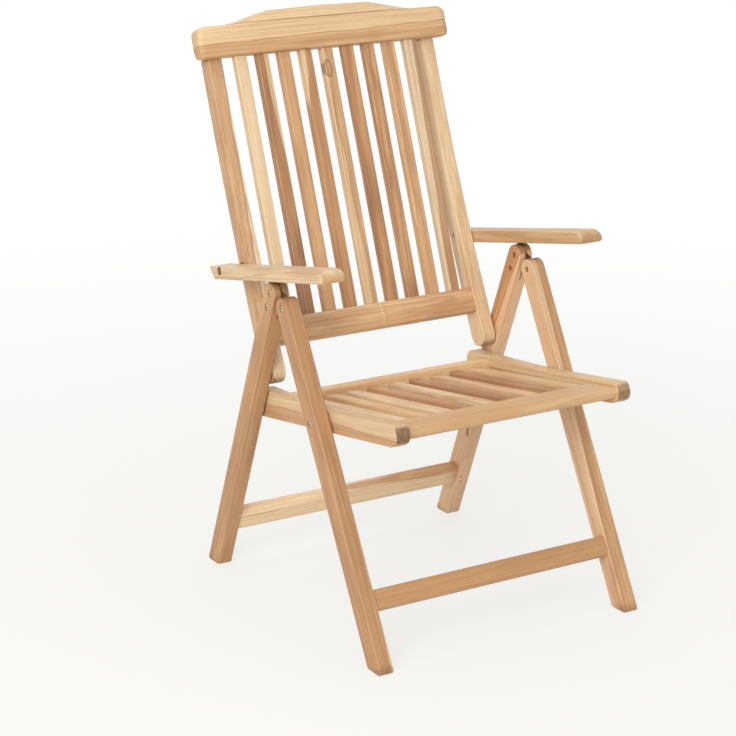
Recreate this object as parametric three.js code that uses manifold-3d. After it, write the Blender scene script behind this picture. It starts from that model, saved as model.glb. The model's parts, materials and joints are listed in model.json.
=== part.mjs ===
import * as THREE from "three";
import { mergeVertices } from "three/addons/utils/BufferGeometryUtils.js";
import Module from "manifold-3d";

// Folding teak armchair with a reclining slatted back. Millimetres, Z up. The sitter faces -Y,
// and +X is the sitter's left. The leg frames are hinged at their tops: each front leg turns on a
// steel plate that is bolted in a slot in the top of the rear leg. The seat turns on the front
// legs and slides by two pins in curved grooves inside the rear legs. The back turns on the rear
// legs, and the armrests turn on the back and rest by notches on the steel plates' pins.

// Layout across the chair
const LEG_OUTER_X = 290;
const LEG_THICK = 30.6;
const RAIL_THICK = 29.3; // seat side rails and back stiles, which share one plane
const LEG_TO_RAIL = 3.8; // air between a leg and the rail or stile inside it
const ARM_INNER_GAP = 1.9; // air between a stile and its armrest
const ARM_WIDTH = 49.5;

// Legs, in side view
const LEG_DEPTH = 40.4; // square to the leg
const HINGE_HEIGHT = 599.6;
const FRONT_LEAN = THREE.MathUtils.degToRad(28.8);
const REAR_LEAN = THREE.MathUtils.degToRad(21.8);
const FOOT_ROUND = 5; // the feet's front and rear edges
const FOLDED_GAP = 7.7; // between front and rear leg when they lie side by side
const FOLD_ANGLE = FRONT_LEAN + REAR_LEAN;

// Steel hinge plates, in the rear leg's frame
const PLATE_THICK = 3;
const PLATE_SLOT = 3.6;
const PLATE_ROUND = 14; // the plate's radius round each of its holes
const UPPER_BOLT_RISE = 1.9; // over the point of the rear leg nearest to the hinge
const BOLT_SPACING = 31.8;
const SLOT_MARGIN = 2.5; // from the plate's lower end to the slot's end
const REST_PIN_RADIUS = 5;
const REST_PIN_LENGTH = 22;
const REST_PIN_RISE = 27.7; // over the upper bolt
const REST_PIN_BACK = 5.4;
const TAB_ROUND = 8; // the plate's radius round the rest pin

// Stretchers
const FRONT_STRETCHER_HEIGHT = 39.6;
const REAR_STRETCHER_HEIGHT = 44;
const STRETCHER_THICK = 27;
const STRETCHER_SETBACK = 3.5; // behind the legs' front faces
const FRONT_STRETCHER_RISE = 145.6; // floor to the stretcher's top, along the leg
const REAR_STRETCHER_RISE = 134;
const STRETCHER_ROUND = 6;

// Seat, in a frame whose origin is the seat bolt and whose Y runs back along the seat
const SEAT_BOLT_DROP = 218.8; // hinge to seat bolt, along the front leg
const SEAT_BOLT_BACK = 5.3;
const SEAT_SLOPE = THREE.MathUtils.degToRad(9.26);
const SEAT_RATIO = -2.073; // the seat's turn on the front legs per turn of the legs
const RAIL_FRONT = 249; // bolt to nose
const RAIL_REAR = 268;
const RAIL_BELOW = 20;
const RAIL_ABOVE = 20.2;
const RAIL_HEEL = 36; // height over the bolt at the rear end
const RAIL_NOSE = 24; // length of the rounded nose
const RAIL_BEND = 65; // where the top line starts to rise, in front of the bolt
const RAIL_HEEL_ROUND = 26;
const NOSE_FULLNESS_SHARE = 0.8; // of the way from the nose's point to its corners
const SLIDE_PIN_BACK = 227.6; // bolt to slide pin
const SLIDE_PIN_UP = 11.5;
const SLIDE_PIN_RADIUS = 3;
const SLIDE_PIN_LENGTH = 23;
const GROOVE_DEPTH = 8;
const GROOVE_PLAY = 0.7; // round the slide pin
const FRONT_RAIL_DEPTH = 72; // front to back
const FRONT_RAIL_SETBACK = 6; // behind the side rails' noses
const FRONT_RAIL_HEIGHT = 23;
const SLAT_RECESS = 7; // the slats' tops under the side rails' tops
const REAR_RAIL_THICK = 30;
const REAR_RAIL_BACK = 175; // bolt to the rear rail's front face
const REAR_RAIL_HEIGHT = 43;
const REAR_RAIL_RISE = 12; // over the slats' tops

// Slats, alike in seat and back
const SLAT_COUNT = 9;
const SLAT_WIDTH = 25;
const SLAT_THICK = 17.5;
const SLAT_PITCH = 47.73;
const SLAT_ROUND = 2.6;
const SLAT_TENON = 14; // length
const SLAT_SHOULDER = 3; // on every side of the tenon

// Back, in a frame whose origin is its pivot and whose Z runs up along the slats
const BACK_LEAN = THREE.MathUtils.degToRad(20.3);
const BACK_PIVOT_DROP = 195.4; // under the rear leg's point beside the hinge
const BACK_PIN_RADIUS = 4;
const BACK_PIN_LENGTH = 40;
const STILE_HEEL = 22.5;
const STILE_HEEL_RISE = 4;
const STILE_TOP = 612.1;
const STILE_FRONT_TOP = 9.1;
const STILE_FRONT_BOW = 34.1;
const STILE_REAR_BOW = 21.5;
const STILE_BOW_HEIGHT = 530; // from here up, front and rear edges run along the slats
const STILE_HORN = 15; // thickness of the part that stands up behind the crest rail
const STILE_HORN_ROUND_SHARE = 0.72;
const SLAT_FRONT = 3.5; // the slats' front faces in front of the pivot
const CREST_FRONT = 12.5;
const CREST_THICK = 40;
const CREST_HALF_LENGTH = 280;
const CREST_FACE = 59.6; // height of the front face
const CREST_CROWN = 0.8; // ridge over the front edge, at the ends
const CREST_SWELL = 6; // how much more the ridge rises towards the middle
const HUMP_RISE = 21.2;
const HUMP_FLAT_SHARE = 0.407; // of the half length: where the level top ends
const HUMP_FOOT_SHARE = 0.768;
const HUMP_STRAIGHT_SHARE = 0.75; // how straight the hump's slopes are, from an S to a line
const CREST_UPPER_ROUND = 18; // the ends' corners, seen from the front
const CREST_LOWER_ROUND = 7;
const CREST_FRONT_ROUND = 5; // the ends' corners, seen from above
const CREST_REAR_ROUND = 17;
const CREST_BELLY = 14; // radius of the lower rear edge
const CREST_EDGE = 4;
const CREST_EDGE_SHARE = 0.2; // of its thickness, the most that an edge takes near the ends
const EDGE_EASE_SHARE = 0.33; // how far an edge's middle lies from its corner
const CREST_ARRIS = 1.2; // between the front face and the hump's slope
const RIDGE_SHOULDER_SHARE = 0.6;
const RIDGE_TOP_SHARE = 0.2;
const LOWER_RAIL_FRONT = 7.8;
const LOWER_RAIL_TOP = 102.3;
const LOWER_RAIL_TILT = THREE.MathUtils.degToRad(7.7);
const LOWER_RAIL_HEIGHT = 50;
const LOWER_RAIL_THICK = 28;
const RAIL_ROUND = 4;

// Armrests, in a frame whose origin is the armrest bolt and whose Y runs back along the arm
const ARM_PIVOT_BACK = 20.7; // from the back's pivot, in the back's frame
const ARM_PIVOT_RISE = 210.3;
const ARM_SLOPE = THREE.MathUtils.degToRad(11.64);
const ARM_RATIO = 0.62; // the armrests' turn on the back per turn of the back
const ARM_FRONT = 394;
const ARM_REAR = 42.7;
const ARM_REAR_SLANT = 16;
const ARM_ABOVE = 8;
const ARM_BELOW = 16.7;
const ARM_NOSE = 28; // length of the long round-over on top
const ARM_NOSE_UNDER = 8;
const ARM_EASE = 4;
const RECLINE = THREE.MathUtils.degToRad(25);
const NOTCHES = 5;
const NOTCH_RISE = 2; // each notch over the channel's own ceiling
const CHANNEL_PLAY = 1;
const CHANNEL_END = 2.5; // more length at each end of the rest pin's travel

// Joints and fasteners
const GAP = 0.3; // between pieces that touch
const EASE = 2.5; // eased edges of the timber
const TENON_LENGTH = 17;
const TENON_SHOULDER = 5;
const STILE_TENON_THICK = 8;
const STILE_TENON_LENGTH = 24;
const SHANK_RADIUS = 3;
const HEAD_RADIUS = 5.5;
const NUT_RADIUS = 4.6;
const HEAD_THICK = 2.5;
const HEAD_RECESS = 0.7;
const NUT_RECESS = 1.4;
const ARM_BOLT_RECESS = 8;
const ARM_COUNTERBORE = 7.5; // radius
const BORE_PLAY = 1; // round a bolt's head
const SOCKET_RADIUS = 2;
const SOCKET_DEPTH = 1.5;
const WASHER_RADIUS = 10;
const OVERRUN = 60; // how far a cutter runs past what it cuts
const WELD = 0.00001;

const HEX_SIDES = 6;
const EASE_STEPS = 2;
const CURVE_STEPS = 5;
const ARC_STEPS = 6;
const CORNER_STEPS = 2;
const ROUND_STEPS = 12;
const PATH_STEPS = 8;
const BELLY_STEPS = 3;
const END_SHARES = [0, 0.06, 0.25, 0.6, 1]; // sections of the crest rail's rounded ends
const SLOPE_SHARES = [0, 0.17, 0.33, 0.5, 0.67, 0.83, 1]; // and of the hump's slopes

// What follows from the sizes above
const legInnerX = LEG_OUTER_X - LEG_THICK;
const railOuterX = legInnerX - LEG_TO_RAIL;
const railInnerX = railOuterX - RAIL_THICK;
const armInnerX = railOuterX + ARM_INNER_GAP;
const armOuterX = armInnerX + ARM_WIDTH;
const plateX = legInnerX + LEG_THICK / 2;
const halfDepth = LEG_DEPTH / 2;
const lowerBoltRise = UPPER_BOLT_RISE - BOLT_SPACING;
const slatTop = RAIL_ABOVE - SLAT_RECESS;
const frontRailBack = -RAIL_FRONT + FRONT_RAIL_SETBACK + FRONT_RAIL_DEPTH;
const crestRear = CREST_THICK - CREST_FRONT;
const stileRearTop = crestRear + GAP + STILE_HORN;

const wasm = await Module();
wasm.setup();

// Places in side view are Vector2(y, z), and a frame is a place with a turn about X
function frame(origin, turn) {
  return { origin, turn };
}

function outOf(place, own) {
  return own.clone().rotateAround(new THREE.Vector2(), place.turn).add(place.origin);
}

function into(place, outer) {
  return outer.clone().sub(place.origin).rotateAround(new THREE.Vector2(), -place.turn);
}

function spot(y, z) {
  return new THREE.Vector2(y, z);
}

const frontLegFrame = frame(spot(0, HINGE_HEIGHT), -FRONT_LEAN);
const rearLegFrame = frame(
  outOf(frame(spot(0, HINGE_HEIGHT), REAR_LEAN), spot(LEG_DEPTH + FOLDED_GAP, 0)),
  REAR_LEAN,
);
const seatBolt = outOf(frontLegFrame, spot(SEAT_BOLT_BACK, -SEAT_BOLT_DROP));
const seatFrame = frame(seatBolt, -SEAT_SLOPE);
const slidePin = outOf(seatFrame, spot(SLIDE_PIN_BACK, SLIDE_PIN_UP));
const upperBolt = spot(0, UPPER_BOLT_RISE);
const lowerBolt = spot(0, lowerBoltRise);
const restPin = spot(REST_PIN_BACK, UPPER_BOLT_RISE + REST_PIN_RISE);
const hingeInRearLeg = into(rearLegFrame, frontLegFrame.origin);

// The back's pivot lies on the rear leg's middle line
const pivotInRearLeg = spot(0, -BACK_PIVOT_DROP);
const backPivot = outOf(rearLegFrame, pivotInRearLeg);
const backFrame = frame(backPivot, -BACK_LEAN);
const armBolt = spot(ARM_PIVOT_BACK, ARM_PIVOT_RISE);
const armFrame = frame(outOf(backFrame, armBolt), -ARM_SLOPE);

// Where the slide pin is when the legs are folded by a share of their whole turn
function slidePinAt(share) {
  const turn = FOLD_ANGLE * share;
  const bolt = seatBolt.clone().rotateAround(frontLegFrame.origin, turn);
  const pin = slidePin.clone().rotateAround(frontLegFrame.origin, turn);
  return pin.rotateAround(bolt, SEAT_RATIO * turn);
}

// Where the rest pin lies in the armrest's frame when the back is down by a share of its turn
function restPinAt(share) {
  const turn = RECLINE * share;
  const bolt = armFrame.origin.clone().rotateAround(backPivot, -turn);
  const arm = frame(bolt, armFrame.turn - turn + ARM_RATIO * turn);
  return into(arm, outOf(rearLegFrame, restPin));
}

// Solids
function solidOf(geometry) {
  const bare = geometry.clone();
  bare.deleteAttribute("normal");
  bare.deleteAttribute("uv");
  const merged = mergeVertices(bare, WELD);
  const corners = merged.index.array;
  const kept = [];
  for (let i = 0; i < corners.length; i += 3) {
    const [a, b, c] = [corners[i], corners[i + 1], corners[i + 2]];
    if (a !== b && b !== c && c !== a) kept.push(a, b, c);
  }
  return new wasm.Manifold(new wasm.Mesh({
    numProp: 3,
    vertProperties: new Float32Array(merged.attributes.position.array),
    triVerts: new Uint32Array(kept),
  }));
}

function geometryOf(solid) {
  const mesh = solid.getMesh();
  const geometry = new THREE.BufferGeometry();
  const places = new THREE.BufferAttribute(new Float32Array(mesh.vertProperties), 3);
  geometry.setAttribute("position", places);
  geometry.setIndex(new THREE.BufferAttribute(new Uint32Array(mesh.triVerts), 1));
  geometry.computeVertexNormals();
  return geometry;
}

function joined(solids) {
  return solids.reduce((whole, solid) => whole.add(solid));
}

function cut(solid, cutters) {
  return cutters.reduce((rest, cutter) => rest.subtract(cutter), solid);
}

// Turns an extrusion of a (y, z) outline so that its depth runs along X
const TO_SIDE = new THREE.Matrix4().makeBasis(
  new THREE.Vector3(0, 1, 0),
  new THREE.Vector3(0, 0, 1),
  new THREE.Vector3(1, 0, 0),
);

function board(outline, fromX, toX, ease = 0) {
  const geometry = new THREE.ExtrudeGeometry(outline, {
    depth: toX - fromX - 2 * ease,
    bevelEnabled: ease > 0,
    bevelThickness: ease,
    bevelSize: ease,
    bevelOffset: -ease,
    bevelSegments: EASE_STEPS,
    curveSegments: CURVE_STEPS,
  });
  geometry.translate(0, 0, fromX + ease);
  geometry.applyMatrix4(TO_SIDE);
  return solidOf(geometry);
}

function block(fromX, toX, fromY, toY, fromZ, toZ) {
  const geometry = new THREE.BoxGeometry(toX - fromX, toY - fromY, toZ - fromZ);
  geometry.translate((fromX + toX) / 2, (fromY + toY) / 2, (fromZ + toZ) / 2);
  return solidOf(geometry);
}

function rod(fromX, toX, centre, radius, steps = ROUND_STEPS) {
  const geometry = new THREE.CylinderGeometry(radius, radius, toX - fromX, steps);
  geometry.rotateZ(-Math.PI / 2);
  geometry.translate((fromX + toX) / 2, centre.x, centre.y);
  return solidOf(geometry);
}

// A solid of revolution about a line along X, from pairs of place along X and radius
function turned(profile, centre) {
  const points = profile.map(([x, radius]) => spot(radius, x));
  const geometry = new THREE.LatheGeometry(points, ROUND_STEPS);
  geometry.rotateZ(-Math.PI / 2);
  geometry.translate(0, centre.x, centre.y);
  return solidOf(geometry);
}

function polygon(points) {
  return new THREE.Shape(points);
}

function arcPoints(centre, radius, from, to, steps = ARC_STEPS) {
  const points = [];
  for (let step = 0; step <= steps; step += 1) {
    const angle = from + ((to - from) * step) / steps;
    points.push(spot(centre.x + radius * Math.cos(angle), centre.y + radius * Math.sin(angle)));
  }
  return points;
}

function roundedBox(fromY, toY, fromZ, toZ, radius) {
  const corners = [
    spot(toY - radius, toZ - radius),
    spot(fromY + radius, toZ - radius),
    spot(fromY + radius, fromZ + radius),
    spot(toY - radius, fromZ + radius),
  ];
  return polygon(corners.flatMap((corner, quarter) => {
    const from = (quarter * Math.PI) / 2;
    return arcPoints(corner, radius, from, from + Math.PI / 2, CORNER_STEPS);
  }));
}

// The outline of a band stretched round some discs
function bandRound(discs) {
  const points = [];
  for (const [centre, radius] of discs) {
    for (let step = 0; step < ROUND_STEPS; step += 1) {
      const angle = (step / ROUND_STEPS) * Math.PI * 2;
      points.push(spot(centre.x + radius * Math.cos(angle), centre.y + radius * Math.sin(angle)));
    }
  }
  points.sort((a, b) => a.x - b.x || a.y - b.y);
  const half = (ordered) => {
    const chain = [];
    for (const point of ordered) {
      while (chain.length > 1 && !turnsLeft(chain.at(-2), chain.at(-1), point)) chain.pop();
      chain.push(point);
    }
    return chain.slice(0, -1);
  };
  return polygon([...half(points), ...half([...points].reverse())]);
}

function turnsLeft(a, b, c) {
  const lead = b.clone().sub(a);
  const next = c.clone().sub(b);
  return lead.x * next.y - lead.y * next.x > WELD;
}

// Steel fasteners. Both ends of a bolt lie in counterbores under the faces that they clamp
function boltProfile(innerX, outerX, outerRecess) {
  const nutFace = innerX + NUT_RECESS;
  const headFace = outerX - outerRecess;
  return [
    [nutFace, 0],
    [nutFace, NUT_RADIUS],
    [nutFace + HEAD_THICK, NUT_RADIUS],
    [nutFace + HEAD_THICK, SHANK_RADIUS],
    [headFace - HEAD_THICK, SHANK_RADIUS],
    [headFace - HEAD_THICK, HEAD_RADIUS],
    [headFace - HEAD_RECESS, HEAD_RADIUS],
    [headFace, HEAD_RADIUS - HEAD_RECESS],
    [headFace, 0],
  ];
}

function bolt(innerX, outerX, centre, outerRecess = HEAD_RECESS) {
  const headFace = outerX - outerRecess;
  const socket = rod(headFace - SOCKET_DEPTH, headFace + OVERRUN, centre, SOCKET_RADIUS, HEX_SIDES);
  return turned(boltProfile(innerX, outerX, outerRecess), centre).subtract(socket);
}

function boltHole(innerX, outerX, centre) {
  return rod(innerX - OVERRUN, outerX + OVERRUN, centre, SHANK_RADIUS + GAP);
}

function nutBore(innerX, centre) {
  const floor = innerX + NUT_RECESS + HEAD_THICK + GAP;
  return rod(innerX - OVERRUN, floor, centre, NUT_RADIUS + BORE_PLAY);
}

function headBore(outerX, centre, recess = HEAD_RECESS, radius = HEAD_RADIUS + BORE_PLAY) {
  return rod(outerX - recess - HEAD_THICK - GAP, outerX + OVERRUN, centre, radius);
}

function washer(fromX, toX, centre, bore) {
  const inner = bore + GAP;
  const ring = turned(
    [[fromX + GAP, 0], [fromX + GAP, WASHER_RADIUS], [toX - GAP, WASHER_RADIUS], [toX - GAP, 0]],
    centre,
  );
  return ring.subtract(rod(fromX - OVERRUN, toX + OVERRUN, centre, inner));
}

// How far along a leg the floor lies, for a place across the leg
function floorAt(leg, across) {
  return -(leg.origin.y + across * Math.sin(leg.turn)) / Math.cos(leg.turn);
}

// A leg is a bar with a round top about one point, cut level at the floor
function legOutline(leg, topRise) {
  const down = Math.PI * 1.5 - leg.turn;
  const toe = (across, from, to) => {
    const centre = spot(across, floorAt(leg, across) + FOOT_ROUND / Math.cos(leg.turn));
    return arcPoints(centre, FOOT_ROUND, from, to, CORNER_STEPS);
  };
  const shape = new THREE.Shape([
    ...toe(FOOT_ROUND - halfDepth, Math.PI, down),
    ...toe(halfDepth - FOOT_ROUND, down, 2 * Math.PI),
  ]);
  shape.absarc(0, topRise, halfDepth, 0, Math.PI);
  return shape;
}

function stretcherSpan(leg, rise, height) {
  const front = -halfDepth + STRETCHER_SETBACK;
  const top = floorAt(leg, 0) + rise;
  return [front, front + STRETCHER_THICK, top - height, top];
}

function frontStretcherSpan() {
  return stretcherSpan(frontLegFrame, FRONT_STRETCHER_RISE, FRONT_STRETCHER_HEIGHT);
}

function rearStretcherSpan() {
  return stretcherSpan(rearLegFrame, REAR_STRETCHER_RISE, REAR_STRETCHER_HEIGHT);
}

// The square tenon at the end of a rail whose section is a box, or the hole for it
function railTenon(fromX, toX, [fromY, toY, fromZ, toZ], play = 0) {
  const inset = TENON_SHOULDER - play;
  return block(fromX, toX, fromY + inset, toY - inset, fromZ + inset, toZ - inset);
}

function frontLeg() {
  const body = board(legOutline(frontLegFrame, 0), legInnerX, LEG_OUTER_X, EASE);
  const hinge = spot(0, 0);
  const seat = spot(SEAT_BOLT_BACK, -SEAT_BOLT_DROP);
  const plateLeft = plateX - PLATE_SLOT / 2;
  return cut(body, [
    board(plateRoom(), plateLeft, plateLeft + PLATE_SLOT),
    boltHole(legInnerX, LEG_OUTER_X, hinge),
    nutBore(legInnerX, hinge),
    headBore(LEG_OUTER_X, hinge),
    boltHole(legInnerX, LEG_OUTER_X, seat),
    headBore(LEG_OUTER_X, seat),
    railTenon(
      legInnerX - OVERRUN,
      legInnerX + TENON_LENGTH + GAP,
      frontStretcherSpan(),
      GAP,
    ),
  ]);
}

// The room that the plate sweeps in the front leg, from open to folded
function plateRoom() {
  const places = [upperBolt, lowerBolt].map((place) => into(frontLegFrame, outOf(rearLegFrame, place)));
  const folded = places[1].clone().rotateAround(new THREE.Vector2(), -FOLD_ANGLE);
  const radius = (PLATE_ROUND + GAP) / Math.cos(Math.PI / ROUND_STEPS);
  return bandRound([[spot(0, 0), radius], [places[0], radius], [folded, radius]]);
}

function rearLeg() {
  const body = board(legOutline(rearLegFrame, UPPER_BOLT_RISE), legInnerX, LEG_OUTER_X, EASE);
  const slotEnd = lowerBoltRise - PLATE_ROUND - SLOT_MARGIN;
  const blindEnd = legInnerX - LEG_TO_RAIL / 2 + BACK_PIN_LENGTH / 2 + GAP;
  const cutters = [
    block(
      plateX - PLATE_SLOT / 2,
      plateX + PLATE_SLOT / 2,
      -OVERRUN,
      OVERRUN,
      slotEnd,
      UPPER_BOLT_RISE + OVERRUN,
    ),
    rod(legInnerX - OVERRUN, blindEnd, pivotInRearLeg, BACK_PIN_RADIUS + GAP),
    board(grooveOutline(), legInnerX - OVERRUN, legInnerX + GROOVE_DEPTH),
    railTenon(
      legInnerX - OVERRUN,
      legInnerX + TENON_LENGTH + GAP,
      rearStretcherSpan(),
      GAP,
    ),
  ];
  for (const place of [upperBolt, lowerBolt]) {
    cutters.push(boltHole(legInnerX, LEG_OUTER_X, place));
    cutters.push(nutBore(legInnerX, place));
    cutters.push(headBore(LEG_OUTER_X, place));
  }
  return cut(body, cutters);
}

// The groove follows the slide pin from the open to the folded chair
function grooveOutline() {
  const path = [];
  for (let step = 0; step <= PATH_STEPS; step += 1) {
    path.push(into(rearLegFrame, slidePinAt(step / PATH_STEPS)));
  }
  const radius = SLIDE_PIN_RADIUS + GROOVE_PLAY;
  const start = path[0];
  const end = path.at(-1);
  const away = start.clone().sub(path[1]).angle();
  const on = end.clone().sub(path.at(-2)).angle();
  return polygon([
    ...offsetPath(path, radius),
    ...arcPoints(end, radius, on - Math.PI / 2, on + Math.PI / 2).slice(1, -1),
    ...offsetPath(path, -radius).reverse(),
    ...arcPoints(start, radius, away - Math.PI / 2, away + Math.PI / 2).slice(1, -1),
  ]);
}

// Points beside a path, to the right of its run for a positive distance
function offsetPath(path, distance) {
  return path.map((point, index) => {
    const before = path[Math.max(index - 1, 0)];
    const after = path[Math.min(index + 1, path.length - 1)];
    const run = after.clone().sub(before).normalize();
    return point.clone().add(spot(run.y, -run.x).multiplyScalar(distance));
  });
}

function stretcher(span) {
  const end = legInnerX - GAP;
  return joined([
    board(roundedBox(...span, STRETCHER_ROUND), -end, end),
    railTenon(-legInnerX - TENON_LENGTH, legInnerX + TENON_LENGTH, span),
  ]);
}

// The plate holds the front leg's bolt and the rest pin, and is bolted through the rear leg
function hingePlate() {
  const left = plateX - PLATE_THICK / 2;
  const right = plateX + PLATE_THICK / 2;
  const arms = bandRound([
    [hingeInRearLeg, PLATE_ROUND],
    [upperBolt, PLATE_ROUND],
    [lowerBolt, PLATE_ROUND],
  ]);
  const tab = bandRound([[upperBolt, TAB_ROUND], [restPin, TAB_ROUND]]);
  return cut(joined([board(arms, left, right), board(tab, left, right)]), [
    boltHole(left, right, hingeInRearLeg),
    boltHole(left, right, upperBolt),
    boltHole(left, right, lowerBolt),
    rod(left - OVERRUN, right + OVERRUN, restPin, REST_PIN_RADIUS + GAP),
  ]);
}

// Side rail of the seat: a long straight nose and a heel that carries the slide pin
function railOutline() {
  const shape = new THREE.Shape();
  shape.moveTo(-RAIL_FRONT + RAIL_NOSE, -RAIL_BELOW);
  shape.lineTo(RAIL_REAR, -RAIL_BELOW);
  shape.lineTo(RAIL_REAR - RAIL_HEEL_ROUND / 3, RAIL_HEEL - RAIL_HEEL_ROUND);
  shape.quadraticCurveTo(RAIL_REAR - RAIL_HEEL_ROUND / 2, RAIL_HEEL, RAIL_REAR - RAIL_HEEL_ROUND, RAIL_HEEL);
  shape.quadraticCurveTo(RAIL_REAR / 4, RAIL_ABOVE, -RAIL_BEND, RAIL_ABOVE);
  shape.lineTo(-RAIL_FRONT + RAIL_NOSE / 2, RAIL_ABOVE);
  const [over, under] = [RAIL_ABOVE * NOSE_FULLNESS_SHARE, -RAIL_BELOW * NOSE_FULLNESS_SHARE];
  shape.quadraticCurveTo(-RAIL_FRONT, over, -RAIL_FRONT, 0);
  shape.quadraticCurveTo(-RAIL_FRONT, under, -RAIL_FRONT + RAIL_NOSE, -RAIL_BELOW);
  return shape;
}

function frontRailSpan() {
  return [frontRailBack - FRONT_RAIL_DEPTH, frontRailBack, slatTop - FRONT_RAIL_HEIGHT, slatTop];
}

function rearRailSpan() {
  const top = slatTop + REAR_RAIL_RISE;
  return [REAR_RAIL_BACK, REAR_RAIL_BACK + REAR_RAIL_THICK, top - REAR_RAIL_HEIGHT, top];
}

function seatSideRail() {
  const body = board(railOutline(), railInnerX, railOuterX, EASE);
  const bolt = spot(0, 0);
  const pin = spot(SLIDE_PIN_BACK, SLIDE_PIN_UP);
  const mortises = [frontRailSpan(), rearRailSpan()].map((span) =>
    railTenon(railInnerX - OVERRUN, railInnerX + TENON_LENGTH + GAP, span, GAP),
  );
  const pinFloor = legInnerX + GROOVE_DEPTH - BORE_PLAY - SLIDE_PIN_LENGTH - GAP;
  return cut(body, [
    ...mortises,
    boltHole(railInnerX, railOuterX, bolt),
    nutBore(railInnerX, bolt),
    rod(pinFloor, railOuterX + OVERRUN, pin, SLIDE_PIN_RADIUS + GAP),
  ]);
}

// Where the slats' middles lie across the chair
function slatPlaces() {
  return Array.from({ length: SLAT_COUNT }, (_, i) => (i - (SLAT_COUNT - 1) / 2) * SLAT_PITCH);
}

// The tenon of a seat slat from end to end, or with play its mortise
function seatSlatTenon(x, fromY, toY, play = 0) {
  const wide = SLAT_WIDTH / 2 - SLAT_SHOULDER + play;
  const inset = SLAT_SHOULDER - play;
  return block(x - wide, x + wide, fromY, toY, slatTop - SLAT_THICK + inset, slatTop - inset);
}

function seatFrontRail() {
  const [front, back, bottom, top] = frontRailSpan();
  const end = railInnerX - GAP;
  const nose = FRONT_RAIL_HEIGHT / 2;
  const shape = new THREE.Shape();
  shape.moveTo(back, bottom);
  shape.lineTo(back, top);
  shape.lineTo(front + nose, top);
  shape.quadraticCurveTo(front, top, front, top - nose);
  shape.quadraticCurveTo(front, bottom, front + nose, bottom);
  const span = [front, back, bottom, top];
  return cut(
    joined([
      board(shape, -end, end),
      railTenon(-railInnerX - TENON_LENGTH, railInnerX + TENON_LENGTH, span),
    ]),
    slatPlaces().map((x) => seatSlatTenon(x, back - SLAT_TENON - GAP, back + OVERRUN, GAP)),
  );
}

function seatRearRail() {
  const span = rearRailSpan();
  const end = railInnerX - GAP;
  return cut(
    joined([
      board(roundedBox(...span, RAIL_ROUND), -end, end),
      railTenon(-railInnerX - TENON_LENGTH, railInnerX + TENON_LENGTH, span),
    ]),
    slatPlaces().map((x) => seatSlatTenon(x, span[0] - OVERRUN, span[0] + SLAT_TENON + GAP, GAP)),
  );
}

function seatSlat(x) {
  const front = frontRailBack + GAP;
  const rear = REAR_RAIL_BACK - GAP;
  const half = SLAT_WIDTH / 2;
  const section = roundedBox(x - half, x + half, slatTop - SLAT_THICK, slatTop, SLAT_ROUND);
  const geometry = new THREE.ExtrudeGeometry(section, {
    depth: rear - front,
    bevelEnabled: false,
  });
  geometry.rotateX(Math.PI / 2);
  geometry.translate(0, rear, 0);
  return solidOf(geometry).add(
    seatSlatTenon(x, frontRailBack - SLAT_TENON, REAR_RAIL_BACK + SLAT_TENON),
  );
}

function seatPin() {
  const end = legInnerX + GROOVE_DEPTH - BORE_PLAY;
  return rod(end - SLIDE_PIN_LENGTH, end, spot(SLIDE_PIN_BACK, SLIDE_PIN_UP), SLIDE_PIN_RADIUS);
}

// Stile of the back: bowed, with a round heel at its pivot, and notched at the top for the crest
// rail, which it stands up behind
function stileEdge(top, bow, height) {
  const share = Math.max(0, STILE_BOW_HEIGHT - height) / STILE_BOW_HEIGHT;
  return spot(top - bow * share * share, height);
}

function stileOutline() {
  const heel = spot(0, STILE_HEEL_RISE);
  const low = STILE_HEEL_RISE * 2;
  const points = arcPoints(heel, STILE_HEEL, -Math.PI, 0);
  for (let step = 1; step < PATH_STEPS; step += 1) {
    const height = low + ((STILE_TOP - low) * step) / PATH_STEPS;
    points.push(stileEdge(stileRearTop, STILE_REAR_BOW, height));
  }
  const rearTop = stileEdge(stileRearTop, STILE_REAR_BOW, STILE_TOP);
  const round = STILE_HORN * STILE_HORN_ROUND_SHARE;
  const centre = spot(rearTop.x - round, STILE_TOP);
  points.push(...arcPoints(centre, round, 0, Math.PI / 2, CORNER_STEPS));
  points.push(spot(crestRear + GAP, STILE_TOP + round));
  points.push(spot(crestRear + GAP, STILE_TOP));
  for (let step = PATH_STEPS; step > 0; step -= 1) {
    const height = low + ((STILE_TOP - low) * step) / PATH_STEPS;
    points.push(stileEdge(STILE_FRONT_TOP, STILE_FRONT_BOW, height));
  }
  return polygon(points);
}

function stileTenon(play = 0) {
  const middleX = (railInnerX + railOuterX) / 2;
  const half = RAIL_THICK / 2 - TENON_SHOULDER + play;
  const front = stileEdge(STILE_FRONT_TOP, STILE_FRONT_BOW, STILE_TOP).x + SLAT_SHOULDER;
  return block(
    middleX - half,
    middleX + half,
    front - play,
    front + STILE_TENON_THICK + play,
    STILE_TOP - STILE_TENON_LENGTH,
    STILE_TOP + STILE_TENON_LENGTH + play,
  );
}

function lowerRailSpan() {
  return [0, LOWER_RAIL_THICK, -LOWER_RAIL_HEIGHT, 0];
}

// Turns a solid drawn in the lower rail's own frame into the back's frame
function tilted(solid) {
  const degrees = THREE.MathUtils.radToDeg(LOWER_RAIL_TILT);
  return solid.rotate([-degrees, 0, 0]).translate([0, -LOWER_RAIL_FRONT, LOWER_RAIL_TOP]);
}

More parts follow.
